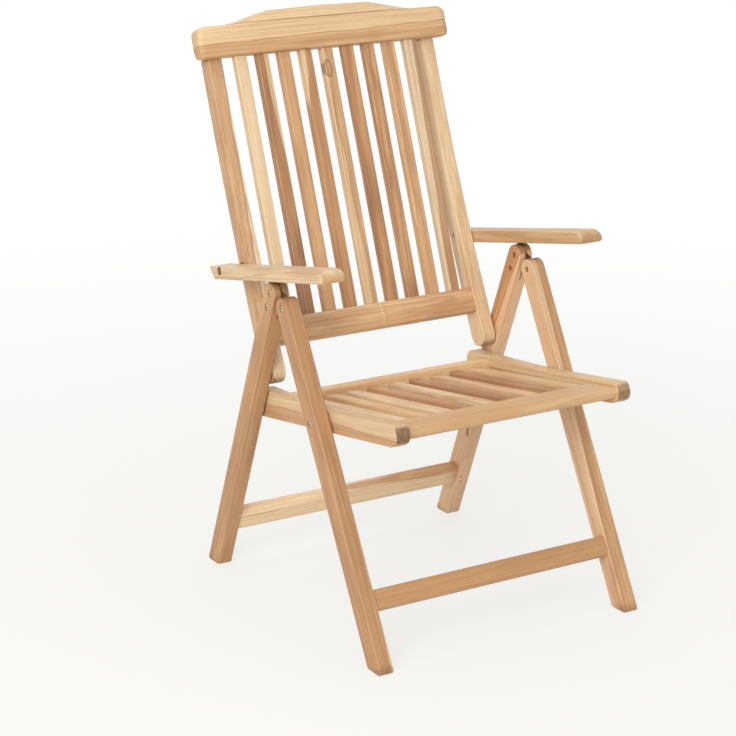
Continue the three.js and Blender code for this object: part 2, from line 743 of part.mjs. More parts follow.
function backStile() {
  const body = board(stileOutline(), railInnerX, railOuterX, EASE).add(stileTenon());
  const blindEnd = legInnerX - LEG_TO_RAIL / 2 - BACK_PIN_LENGTH / 2 - GAP;
  const mortise = railTenon(
    railInnerX - OVERRUN,
    railInnerX + TENON_LENGTH + GAP,
    lowerRailSpan(),
    GAP,
  );
  return cut(body, [
    tilted(mortise),
    rod(blindEnd, railOuterX + OVERRUN, spot(0, 0), BACK_PIN_RADIUS + GAP),
    boltHole(railInnerX, railOuterX, armBolt),
    nutBore(railInnerX, armBolt),
  ]);
}

function backSlatTenon(x, fromZ, toZ, play = 0) {
  const wide = SLAT_WIDTH / 2 - SLAT_SHOULDER + play;
  const front = -SLAT_FRONT + SLAT_SHOULDER - play;
  const rear = -SLAT_FRONT + SLAT_THICK - SLAT_SHOULDER + play;
  return block(x - wide, x + wide, front, rear, fromZ, toZ);
}

function lowerBackRail() {
  const end = railInnerX - GAP;
  const span = lowerRailSpan();
  const rail = joined([
    board(roundedBox(...span, RAIL_ROUND), -end, end),
    railTenon(-railInnerX - TENON_LENGTH, railInnerX + TENON_LENGTH, span),
  ]);
  const floor = LOWER_RAIL_TOP - SLAT_TENON - GAP;
  return cut(
    tilted(rail),
    slatPlaces().map((x) => backSlatTenon(x, floor, LOWER_RAIL_TOP + OVERRUN, GAP)),
  );
}

function backSlat(x) {
  const low = LOWER_RAIL_TOP - SLAT_TENON;
  const top = STILE_TOP;
  const half = SLAT_WIDTH / 2;
  const section = roundedBox(x - half, x + half, -SLAT_FRONT, -SLAT_FRONT + SLAT_THICK, SLAT_ROUND);
  const geometry = new THREE.ExtrudeGeometry(section, {
    depth: top - low,
    bevelEnabled: false,
  });
  geometry.translate(0, 0, low);
  const under = tilted(block(x - OVERRUN, x + OVERRUN, -OVERRUN, OVERRUN, -OVERRUN, GAP));
  const body = solidOf(geometry).subtract(under);
  return body.add(backSlatTenon(x, low, top + SLAT_TENON));
}

// The crest rail is lofted through sections along X: a flat front, a round lower rear edge, a
// top whose ridge swells into the headrest's hump, and ends that are rounded every way
function ridgeHeight(x) {
  const away = Math.abs(x) / CREST_HALF_LENGTH;
  const run = (HUMP_FOOT_SHARE - away) / (HUMP_FOOT_SHARE - HUMP_FLAT_SHARE);
  const line = THREE.MathUtils.clamp(run, 0, 1);
  const soft = THREE.MathUtils.smoothstep(run, 0, 1);
  const slope = THREE.MathUtils.lerp(soft, line, HUMP_STRAIGHT_SHARE);
  return CREST_CROWN + CREST_SWELL * (1 - away) + HUMP_RISE * slope;
}

// How far an end's corner rounds off, at a distance from the end
function roundInset(radius, fromEnd) {
  const short = Math.max(0, radius - fromEnd);
  return radius - Math.sqrt(radius * radius - short * short);
}

function crestSection(x) {
  const fromEnd = CREST_HALF_LENGTH - Math.abs(x);
  const front = -CREST_FRONT + roundInset(CREST_FRONT_ROUND, fromEnd);
  const rear = crestRear - roundInset(CREST_REAR_ROUND, fromEnd);
  const middle = (front + rear) / 2;
  const bottom = STILE_TOP + GAP + roundInset(CREST_LOWER_ROUND, fromEnd);
  const top = STILE_TOP + GAP + CREST_FACE - roundInset(CREST_UPPER_ROUND, fromEnd);
  const ridge = top + ridgeHeight(x);
  const edge = Math.min(CREST_EDGE, (rear - front) * CREST_EDGE_SHARE);
  const ease = edge * EDGE_EASE_SHARE;
  const belly = Math.min(CREST_BELLY, middle - front);
  const lean = (ridge - top) / (middle - front);
  const rounded = spot(rear - belly, bottom + belly);
  return [
    spot(front, bottom + edge),
    spot(front + ease, bottom + ease),
    spot(front + edge, bottom),
    ...arcPoints(rounded, belly, -Math.PI / 2, 0, BELLY_STEPS),
    spot(rear, top - edge),
    spot(rear - ease, top + ease * lean - ease),
    spot(rear - edge, top + edge * lean),
    spot(middle + edge, ridge - edge * lean * RIDGE_SHOULDER_SHARE),
    spot(middle, ridge - edge * lean * RIDGE_TOP_SHARE),
    spot(middle - edge, ridge - edge * lean * RIDGE_SHOULDER_SHARE),
    spot(front + CREST_ARRIS, top + CREST_ARRIS * lean),
    spot(front, top - CREST_ARRIS),
  ].map((place) => new THREE.Vector3(x, place.x, place.y));
}

function crestStations() {
  const foot = CREST_HALF_LENGTH * HUMP_FOOT_SHARE;
  const flat = CREST_HALF_LENGTH * HUMP_FLAT_SHARE;
  const near = END_SHARES.map((share) => CREST_HALF_LENGTH - CREST_UPPER_ROUND * share);
  const slope = SLOPE_SHARES.map((share) => foot - (foot - flat) * share);
  const half = [...near, ...slope];
  return [...half.map((x) => -x), 0, ...half.reverse()];
}

function loft(sections) {
  const count = sections[0].length;
  const places = sections.flat().flatMap((point) => point.toArray());
  const faces = [];
  for (let s = 0; s + 1 < sections.length; s += 1) {
    for (let i = 0; i < count; i += 1) {
      const a = s * count + i;
      const b = s * count + ((i + 1) % count);
      faces.push(a, b, a + count);
      faces.push(b, b + count, a + count);
    }
  }
  const last = (sections.length - 1) * count;
  for (let i = 1; i + 1 < count; i += 1) {
    faces.push(0, i + 1, i);
    faces.push(last, last + i, last + i + 1);
  }
  const geometry = new THREE.BufferGeometry();
  geometry.setAttribute("position", new THREE.Float32BufferAttribute(places, 3));
  geometry.setIndex(faces);
  return solidOf(geometry);
}

function crestRail() {
  const body = loft(crestStations().map(crestSection));
  const bottom = STILE_TOP + GAP;
  const right = stileTenon(GAP);
  return cut(body, [
    right,
    right.mirror([1, 0, 0]),
    ...slatPlaces().map((x) => backSlatTenon(x, bottom - OVERRUN, bottom + SLAT_TENON, GAP)),
  ]);
}

// Armrest: a long round-over at the front and, underneath, the channel for the rest pin
function armOutline() {
  const shape = new THREE.Shape();
  shape.moveTo(-ARM_FRONT + ARM_NOSE_UNDER, -ARM_BELOW);
  shape.lineTo(ARM_REAR - ARM_REAR_SLANT, -ARM_BELOW);
  shape.lineTo(ARM_REAR, ARM_ABOVE);
  shape.lineTo(-ARM_FRONT + ARM_NOSE, ARM_ABOVE);
  shape.bezierCurveTo(
    -ARM_FRONT + ARM_NOSE / 2,
    ARM_ABOVE,
    -ARM_FRONT,
    0,
    -ARM_FRONT,
    -ARM_BELOW + ARM_NOSE_UNDER,
  );
  shape.quadraticCurveTo(-ARM_FRONT, -ARM_BELOW, -ARM_FRONT + ARM_NOSE_UNDER, -ARM_BELOW);
  return shape;
}

// The channel's ceiling runs over the rest pin's path, or over the plate's tab round the pin
function channelOutline(radius) {
  const path = [];
  for (let step = 0; step <= PATH_STEPS; step += 1) {
    path.push(restPinAt(step / PATH_STEPS));
  }
  const rear = spot(path[0].x + CHANNEL_END, path[0].y);
  const front = spot(path.at(-1).x - CHANNEL_END, path.at(-1).y);
  const floor = -ARM_BELOW - OVERRUN;
  return polygon([
    spot(front.x - radius, floor),
    spot(rear.x + radius, floor),
    ...arcPoints(rear, radius, 0, Math.PI / 2),
    ...path.slice(1, -1).map((point) => spot(point.x, point.y + radius)),
    ...arcPoints(front, radius, Math.PI / 2, Math.PI),
  ]);
}

function armrest() {
  const body = board(armOutline(), armInnerX, armOuterX, ARM_EASE);
  const half = REST_PIN_LENGTH / 2 + CHANNEL_PLAY;
  const radius = REST_PIN_RADIUS + CHANNEL_PLAY;
  const slot = PLATE_SLOT / 2 + CHANNEL_PLAY / 2;
  const bolt = spot(0, 0);
  const cutters = [
    board(channelOutline(radius), plateX - half, plateX + half),
    board(channelOutline(TAB_ROUND + CHANNEL_PLAY), plateX - slot, plateX + slot),
    boltHole(armInnerX, armOuterX, bolt),
    headBore(armOuterX, bolt, ARM_BOLT_RECESS, ARM_COUNTERBORE),
  ];
  for (let notch = 0; notch < NOTCHES; notch += 1) {
    const place = restPinAt(notch / (NOTCHES - 1));
    place.y += NOTCH_RISE;
    cutters.push(rod(plateX - half, plateX + half, place, radius));
  }
  return cut(body, cutters);
}

// Colours and surfaces
function teak(colour, roughness = 0.55) {
  return new THREE.MeshStandardMaterial({ color: colour, roughness, metalness: 0 });
}

function steel() {
  return new THREE.MeshStandardMaterial({ color: 0xb9b7b0, roughness: 0.35, metalness: 1 });
}

const FRAME_TEAK = 0xc69a68;
const SLAT_TEAK = [0xe6c79b, 0x9a6b45, 0xd2aa78, 0xd9b17c, 0xdcbb8c, 0xb07c50, 0xa9714a, 0xcda173, 0xe2c193];

function named(name, solid, material) {
  const mesh = new THREE.Mesh(geometryOf(solid), material);
  mesh.name = name;
  return mesh;
}

// Adds a piece made for the +X side, and its twin mirrored to -X
function addPair(group, name, solid, material) {
  group.add(named(`${name}_left`, solid, material()));
  group.add(named(`${name}_right`, solid.mirror([1, 0, 0]), material()));
}

function groupAt(place, name) {
  const group = new THREE.Group();
  group.name = name;
  group.position.set(0, place.origin.x, place.origin.y);
  group.rotation.x = place.turn;
  return group;
}

function rearFrameGroup() {
  const group = groupAt(rearLegFrame, "rear_frame");
  const pinHalf = REST_PIN_LENGTH / 2;
  const pivotMiddle = legInnerX - LEG_TO_RAIL / 2;
  const pinReach = BACK_PIN_LENGTH / 2;
  addPair(group, "rear_leg", rearLeg(), () => teak(FRAME_TEAK));
  group.add(named("rear_stretcher", stretcher(rearStretcherSpan()), teak(FRAME_TEAK)));
  addPair(group, "hinge_plate", hingePlate(), steel);
  addPair(group, "plate_bolt_upper", bolt(legInnerX, LEG_OUTER_X, upperBolt), steel);
  addPair(group, "plate_bolt_lower", bolt(legInnerX, LEG_OUTER_X, lowerBolt), steel);
  addPair(group, "rest_pin", rod(plateX - pinHalf, plateX + pinHalf, restPin, REST_PIN_RADIUS), steel);
  addPair(
    group,
    "back_pivot_pin",
    rod(pivotMiddle - pinReach, pivotMiddle + pinReach, pivotInRearLeg, BACK_PIN_RADIUS),
    steel,
  );
  return group;
}

function frontFrameGroup() {
  const group = groupAt(frontLegFrame, "front_frame");
  addPair(group, "front_leg", frontLeg(), () => teak(FRAME_TEAK));
  group.add(named("front_stretcher", stretcher(frontStretcherSpan()), teak(FRAME_TEAK)));
  addPair(group, "leg_hinge_bolt", bolt(legInnerX, LEG_OUTER_X, spot(0, 0)), steel);
  return group;
}

function seatGroup() {
  const group = groupAt(seatFrame, "seat");
  addPair(group, "seat_side_rail", seatSideRail(), () => teak(FRAME_TEAK));
  group.add(named("seat_front_rail", seatFrontRail(), teak(FRAME_TEAK)));
  group.add(named("seat_rear_rail", seatRearRail(), teak(FRAME_TEAK)));
  slatPlaces().forEach((x, index) => {
    group.add(named(`seat_slat_${index + 1}`, seatSlat(x), teak(SLAT_TEAK[index % SLAT_TEAK.length])));
  });
  addPair(group, "seat_pivot_bolt", bolt(railInnerX, LEG_OUTER_X, spot(0, 0)), steel);
  addPair(group, "seat_pivot_washer", washer(railOuterX, legInnerX, spot(0, 0), SHANK_RADIUS), steel);
  addPair(group, "seat_slide_pin", seatPin(), steel);
  return group;
}

function backGroup() {
  const group = groupAt(backFrame, "back");
  addPair(group, "back_stile", backStile(), () => teak(FRAME_TEAK));
  group.add(named("crest_rail", crestRail(), teak(FRAME_TEAK)));
  group.add(named("lower_back_rail", lowerBackRail(), teak(FRAME_TEAK)));
  slatPlaces().forEach((x, index) => {
    group.add(named(`back_slat_${index + 1}`, backSlat(x), teak(SLAT_TEAK[index % SLAT_TEAK.length])));
  });
  addPair(group, "armrest_bolt", bolt(railInnerX, armOuterX, armBolt, ARM_BOLT_RECESS), steel);
  addPair(group, "armrest_washer", washer(railOuterX, armInnerX, armBolt, SHANK_RADIUS), steel);
  addPair(group, "back_pivot_washer", washer(railOuterX, legInnerX, spot(0, 0), BACK_PIN_RADIUS), steel);
  return group;
}

function armrestGroup() {
  const group = groupAt(armFrame, "armrests");
  addPair(group, "armrest", armrest(), () => teak(FRAME_TEAK));
  return group;
}

// The origin is under the middle of the chair, on the floor
const chair = new THREE.Group();
chair.add(rearFrameGroup(), frontFrameGroup(), seatGroup(), backGroup(), armrestGroup());
const bounds = new THREE.Box3().setFromObject(chair, true);
chair.position.y = -(bounds.min.y + bounds.max.y) / 2;
chair.updateMatrixWorld(true);

export default chair;
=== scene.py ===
import json
import math

import bmesh
import bpy
from mathutils import Matrix, Vector

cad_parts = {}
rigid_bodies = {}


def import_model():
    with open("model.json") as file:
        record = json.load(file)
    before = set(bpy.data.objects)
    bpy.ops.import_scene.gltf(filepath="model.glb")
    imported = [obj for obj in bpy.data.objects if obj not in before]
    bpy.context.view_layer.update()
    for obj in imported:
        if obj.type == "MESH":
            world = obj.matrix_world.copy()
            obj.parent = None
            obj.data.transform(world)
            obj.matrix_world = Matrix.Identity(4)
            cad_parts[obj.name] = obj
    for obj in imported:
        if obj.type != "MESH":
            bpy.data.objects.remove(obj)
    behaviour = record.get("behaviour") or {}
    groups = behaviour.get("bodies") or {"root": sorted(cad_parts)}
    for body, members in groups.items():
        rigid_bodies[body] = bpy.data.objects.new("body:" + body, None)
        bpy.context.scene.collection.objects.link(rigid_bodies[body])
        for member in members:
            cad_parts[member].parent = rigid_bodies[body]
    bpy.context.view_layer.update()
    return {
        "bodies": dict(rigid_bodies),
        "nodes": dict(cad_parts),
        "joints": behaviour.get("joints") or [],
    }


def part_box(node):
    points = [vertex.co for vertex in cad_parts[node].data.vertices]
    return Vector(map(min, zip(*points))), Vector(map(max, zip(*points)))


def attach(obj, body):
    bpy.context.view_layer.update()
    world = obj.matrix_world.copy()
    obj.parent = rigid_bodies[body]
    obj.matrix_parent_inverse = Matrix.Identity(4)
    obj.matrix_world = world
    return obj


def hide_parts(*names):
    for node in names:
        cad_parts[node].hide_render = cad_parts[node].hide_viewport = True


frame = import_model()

MM = 0.001
SIDES = ("left", "right")
nodes = frame["nodes"]
scene = bpy.context.scene
hinges = {joint["name"]: Vector(joint["pos_m"]) for joint in frame["joints"]}

# The boards' frames in the chair's side view, U to the rear and V up, turned about X by these degrees
FRONT_LEG_TURN = -28.8
REAR_LEG_TURN = 21.8
REAR_LEG_BEHIND_HINGE = 48.1 * MM
SEAT_TURN = -9.26
BACK_TURN = -20.3
LOWER_RAIL_TURN = BACK_TURN - 7.7
ARM_TURN = -11.64


def side_frame(place, turn):
    middle = Vector((0, place.y, place.z))
    return Matrix.Translation(middle) @ Matrix.Rotation(math.radians(turn), 4, "X")


FRONT_LEG = side_frame(hinges["leg_fold"], FRONT_LEG_TURN)
REAR_LEG = side_frame(hinges["leg_fold"], REAR_LEG_TURN) @ Matrix.Translation((0, REAR_LEG_BEHIND_HINGE, 0))
SEAT = side_frame(hinges["seat_fold"], SEAT_TURN)
BACK = side_frame(hinges["recline"], BACK_TURN)
LOWER_RAIL = side_frame(hinges["recline"], LOWER_RAIL_TURN)
ARM = side_frame(hinges["armrest_left_pivot"], ARM_TURN)

# Camera, at the photograph's place, set out from the legs' hinge
PICTURE_PIXELS = 736
FOCAL_PIXELS = 2286.19
SENSOR = 36
CAMERA_ROLL = math.radians(0.11)
CAMERA_REACH = 100  # metres
hinge_y = Vector((0, hinges["leg_fold"].y, 0))
camera_at = Vector((-2252.6, -3529.91, 1748.7)) * MM + hinge_y
looks_at = Vector((-31.15, 117.7, 413.07)) * MM + hinge_y

camera = bpy.data.objects.new("camera", bpy.data.cameras.new("camera"))
scene.collection.objects.link(camera)
facing = (looks_at - camera_at).to_track_quat("-Z", "Y").to_matrix().to_4x4()
camera.matrix_world = Matrix.Translation(camera_at) @ facing @ Matrix.Rotation(CAMERA_ROLL, 4, "Z")
camera.data.sensor_width = SENSOR
camera.data.lens = FOCAL_PIXELS / PICTURE_PIXELS * SENSOR
camera.data.clip_end = CAMERA_REACH
scene.camera = camera
scene.view_settings.view_transform = "Standard"


# Shader maths
class Value:
    """A socket of a material that can be used in expressions."""

    def __init__(self, shader, socket):
        self.shader = shader
        self.socket = socket

    def combine(self, operation, *others):
        inputs = {place: other for place, other in enumerate((self, *others))}
        return self.shader.node("ShaderNodeMath", {"operation": operation}, inputs)

    def __add__(self, other):
        return self.combine("ADD", other)

    __radd__ = __add__

    def __mul__(self, other):
        return self.combine("MULTIPLY", other)

    __rmul__ = __mul__

    def __sub__(self, other):
        return self.combine("SUBTRACT", other)

    def __rsub__(self, other):
        return self * -1 + other

    def __truediv__(self, other):
        return self.combine("DIVIDE", other)

    def __pow__(self, other):
        return self.combine("POWER", other)

    def __neg__(self):
        return self * -1

    def __abs__(self):
        return self.combine("ABSOLUTE")

    def part(self):
        return self.combine("FRACT")

    def decay(self):
        """1 where the value is 0, falling away as it grows."""
        return (-self).combine("EXPONENT")

    def bell(self):
        """1 where the value is 0, falling away on both sides."""
        return (self * self).decay()

    def at_most(self, other):
        return self.combine("MINIMUM", other)

    def smooth(self, low, high):
        """0 at low and before, 1 at high and after, with a smooth step between them."""
        settings = {"interpolation_type": "SMOOTHSTEP"}
        return self.shader.node("ShaderNodeMapRange", settings, {0: self, 1: low, 2: high})


MIX_LOW, MIX_HIGH, MIX_RESULT = 6, 7, 2  # the colour sockets of a Mix node


class Shader:
    """The nodes of one material, or of the world."""

    def __init__(self, owner):
        owner.use_nodes = True
        self.owner = owner
        self.tree = owner.node_tree
        self.tree.nodes.clear()

    def node(self, kind, settings=None, inputs=None, output=0):
        made = self.tree.nodes.new(kind)
        for key, value in (settings or {}).items():
            if key == "stops":
                self.set_stops(made.color_ramp, value)
            else:
                setattr(made, key, value)
        for key, value in (inputs or {}).items():
            if isinstance(value, Value):
                self.tree.links.new(value.socket, made.inputs[key])
            else:
                made.inputs[key].default_value = value
        if not made.outputs:
            return None
        return Value(self, made.outputs[output])

    def set_stops(self, ramp, stops):
        while len(ramp.elements) < len(stops):
            ramp.elements.new(1)
        for element, (place, grey) in zip(ramp.elements, stops):
            element.position = place
            element.color = (grey, grey, grey, 1)

    def vector(self, x, y, z):
        return self.node("ShaderNodeCombineXYZ", None, {0: x, 1: y, 2: z})

    def parts(self, vector):
        return [self.node("ShaderNodeSeparateXYZ", None, {0: vector}, axis) for axis in range(3)]

    def noise(self, vector, scale=1, detail=2, roughness=0.5):
        inputs = {"Vector": vector, "Scale": scale, "Detail": detail, "Roughness": roughness}
        return self.node("ShaderNodeTexNoise", None, inputs)

    def blend(self, share, low, high):
        settings = {"data_type": "RGBA", "blend_type": "MIX"}
        return self.node("ShaderNodeMix", settings, {0: share, MIX_LOW: low, MIX_HIGH: high}, MIX_RESULT)

    def seen(self):
        """1 for what the camera sees, straight, mirrored or through glass, and 0 for the object's light."""
        rays = [self.node("ShaderNodeLightPath", None, None, ray)
                for ray in ("Is Camera Ray", "Is Glossy Ray", "Is Transmission Ray")]
        return (rays[0] + rays[1] + rays[2]).at_most(1)

    def finish(self, surface, bump, distance, strength):
        inputs = {"Height": bump, "Distance": distance, "Strength": strength}
        surface["Normal"] = self.node("ShaderNodeBump", None, inputs)
        made = self.node("ShaderNodeBsdfPrincipled", None, surface)
        self.node("ShaderNodeOutputMaterial", None, {"Surface": made})
        return self.owner


def new_material(name):
    return Shader(bpy.data.materials.new(name))


# The sRGB curve
STRAIGHT_BELOW = 0.04045
STRAIGHT_SLOPE = 12.92
CURVE_START = 0.055
CURVE_POWER = 2.4


def linear(share):
    if share < STRAIGHT_BELOW:
        return share / STRAIGHT_SLOPE
    return ((share + CURVE_START) / (1 + CURVE_START)) ** CURVE_POWER


def tone(text, paleness=1):
    """A colour from its six-digit hex name, as the linear values that sockets take."""
    shares = [int(text[i:i + 2], 16) / 255 for i in (0, 2, 4)]
    return (*[paleness * linear(share) for share in shares], 1)


def extent(node, board_frame):
    """Lowest and highest corner of a node in a board's frame, in metres."""
    turn = board_frame.inverted()
    places = [turn @ v.co for v in nodes[node].data.vertices]
    low = Vector([min(p[i] for p in places) for i in range(3)])
    high = Vector([max(p[i] for p in places) for i in range(3)])
    return low, high


# Which way a board's grain, width and thickness run: X, or U and V of its own frame
AXES = {
    "XVU": ((1, 0, 0), (0, 0, 1), (0, -1, 0)),
    "XUV": ((1, 0, 0), (0, 1, 0), (0, 0, 1)),
    "UXV": ((0, 1, 0), (-1, 0, 0), (0, 0, 1)),
    "UVX": ((0, 1, 0), (0, 0, 1), (1, 0, 0)),
    "VXU": ((0, 0, 1), (1, 0, 0), (0, 1, 0)),
    "VUX": ((0, 0, 1), (0, -1, 0), (1, 0, 0)),
}

SAPWOOD = "efd9b4"
CREAM = "e7c99e"
ROSE = "e4c19b"
HONEY = "deb988"
TAN = "d1a678"
OCHRE = "c69869"
BROWN = "b4845a"
RED_BROWN = "a17350"
DARK = "876042"
DUSK = "664733"
END_GRAIN = "7b5e48"
SHADE = "4a3423"

# The log that a board is sawn from
SEED_STEP = 71.3  # from one board's place in the noise to the next one's
# The pith's stray across and through the board: mm along the grain, mm sideways, and the place in the noise
STRAY_ACROSS = {"run": 130, "reach": 12, "row": 3.1, "layer": 0.0}
STRAY_THROUGH = {"run": 190, "reach": 10, "row": 5.7, "layer": 4.0}
RIPPLE_REACH = 5  # mm
# Bands of rings, and the strength of each ring's line: places in the noise per ring, the noise's layer, and
# the noise values between which the band or line sets in
BAND_PACE, BAND_LAYER, BAND_STEP = 0.34, 2.0, (0.36, 0.66)
STRONG_PACE, STRONG_LAYER, STRONG_STEP = 0.9, 9.0, (0.4, 0.68)
WEAK_LINE = 0.2  # strength of the weakest ring's line
RING_STOPS = [(0, 1), (0.06, 0.3), (0.16, 0), (0.66, 0.08), (0.92, 0.6), (1, 1)]

# A knot's fill and dark rim, in shares of its size. The rim drifts inwards and fades across the log, between
# these mm from the pith's line.
KNOT_RIPPLE = 1.1
KNOT_FILL, KNOT_FILL_SHARE = (1.1, 0.5), 0.7
KNOT_RIM, KNOT_RIM_WIDTH, KNOT_RIM_SHARE = 0.95, (0.36, 0.05), 0.8
KNOT_DRIFT, KNOT_DRIFT_REACH = (-4, 12), 0.2
KNOT_RIM_SIDE = (10, -8)

# The figures in the wood: mm along, across and through the board, seed's sign on each axis, noise settings
FIGURES = {
    "ripple": ((90, 14, 14), (0, 1, 0), {"detail": 3}),
    "fibre": ((45, 0.9, 0.9), (0, 1, 0), {"detail": 3, "roughness": 0.65}),
    "streak": ((280, 2.6, 2.6), (-1, 1, 0), {"detail": 3}),
    "gleam": ((230, 4.1, 4.1), (1, -1, 0), {}),
    "pore": ((9, 0.5, 0.5), (0, 0, 1), {"detail": 1}),
    "stain": ((150, 22, 22), (1, 0, 0), {}),
    "cloud": ((330, 60, 60), (0, 1, 0), {"detail": 1}),
}
# The noise values between which a figure sets in
SETS_IN = {
    "fibre": (0.35, 0.75),
    "streak": (0.46, 0.68),
    "gleam": (0.52, 0.74),
    "pore": (0.6, 0.74),
    "stain": (0.42, 0.7),
    "cloud": (0.3, 0.7),
}
# Shares of colour where a figure is at its fullest
SAP_BAND, SAP_LINE = 0.3, 0.25  # how far bands and ring lines show in the sapwood
GLEAM_SHARE = 0.7
FIBRE_SHARE = 0.26
PORE_SHARE = 0.22
CLOUD_SHARE = 0.12
RUB_SHARE = 0.25

# Places between which a feature sets in, in mm
SAP_EDGE = 1.2  # on each side of the sapwood's inner edge
MARK_RIPPLE = 3
PEG_EDGE = (0.6, -0.4)  # past a peg's radius
HOLE_SHADE_EDGE = (0.5, 0.2)  # past a hole's radius
FOOT_DARKENING = (20, 4)  # above the foot's end
RUBBED = (2.4, 0.2)  # from an arris that is rubbed pale

RUB_SCALE, RUB_STEP = 0.03, (0.4, 0.7)
END_FACING = (0.45, 0.9)  # cosine between the surface and the grain
END_SCALE, END_STEP, END_UNEVEN = 0.12, (0.25, 0.6), 0.25
OIL_IOR = 1.45
# Shares of fibres, pores, ends, lines and rubbed arrises in the roughness and in the relief
GROUND_ROUGH, FIBRE_ROUGH, PORE_ROUGH, END_ROUGH, LINE_GLOSS = 0.46, 0.16, 0.1, 0.12, 0.06
FIBRE_RAISED, PORE_SUNK, LINE_SUNK, RUB_RAISED = 0.55, 0.5, 0.35, 0.1
WOOD_RELIEF, WOOD_BUMP = 0.00012, 0.6  # metres, strength


def board_space(shader, coordinates, node, board_frame, axes):
    """A place in a board, in mm from its middle along its own axes, with its half sizes and grain's way."""
    low, high = extent(node, board_frame)
    along, across, through = (Vector(axis) for axis in AXES[axes])
    turn = board_frame.to_3x3()
    columns = Matrix([turn @ along, turn @ across, turn @ through]).transposed()
    placing = {"Vector": coordinates, "Location": board_frame @ ((low + high) / 2)}
    placing["Rotation"] = columns.to_euler()
    placing["Scale"] = (MM, MM, MM)
    local = shader.node("ShaderNodeMapping", {"vector_type": "TEXTURE"}, placing)
    half = [abs((high - low).dot(axis)) / 2 / MM for axis in (along, across, through)]
    return local, half, turn @ along


def figures(shader, place, shift):
    """Every figure's noise over a place in a board, moved by the board's own shift."""
    made = {}
    for name, (run, signs, settings) in FIGURES.items():
        drawn_out = [part / size for part, size in zip(place, run)]
        moved = [part + sign * shift if sign else part for part, sign in zip(drawn_out, signs)]
        made[name] = shader.noise(shader.vector(*moved), **settings)
    return made


def stray(shader, along, sign, seed, run, reach, row, layer):
    """How far in mm the pith is off its straight line, along the grain."""
    place = shader.vector(along / run + sign * seed * SEED_STEP, seed * row, layer)
    return (shader.noise(place, detail=1) - 0.5) * reach


def knot_bump(x, y, ripple, knot):
    """Distance from a knot's middle, 1 on its rim, and how far in mm it pushes the rings aside."""
    middle_x, middle_y, length, width, push = knot
    oval = (((x - middle_x) / length) ** 2 + ((y - middle_y) / width) ** 2) ** 0.5
    eye = oval + ripple * KNOT_RIPPLE
    return eye, eye.bell() * push


def near_edge(part, half_size):
    """1 on a board's edge, 0 further in."""
    return abs(part).smooth(*[half_size - edge for edge in RUBBED])


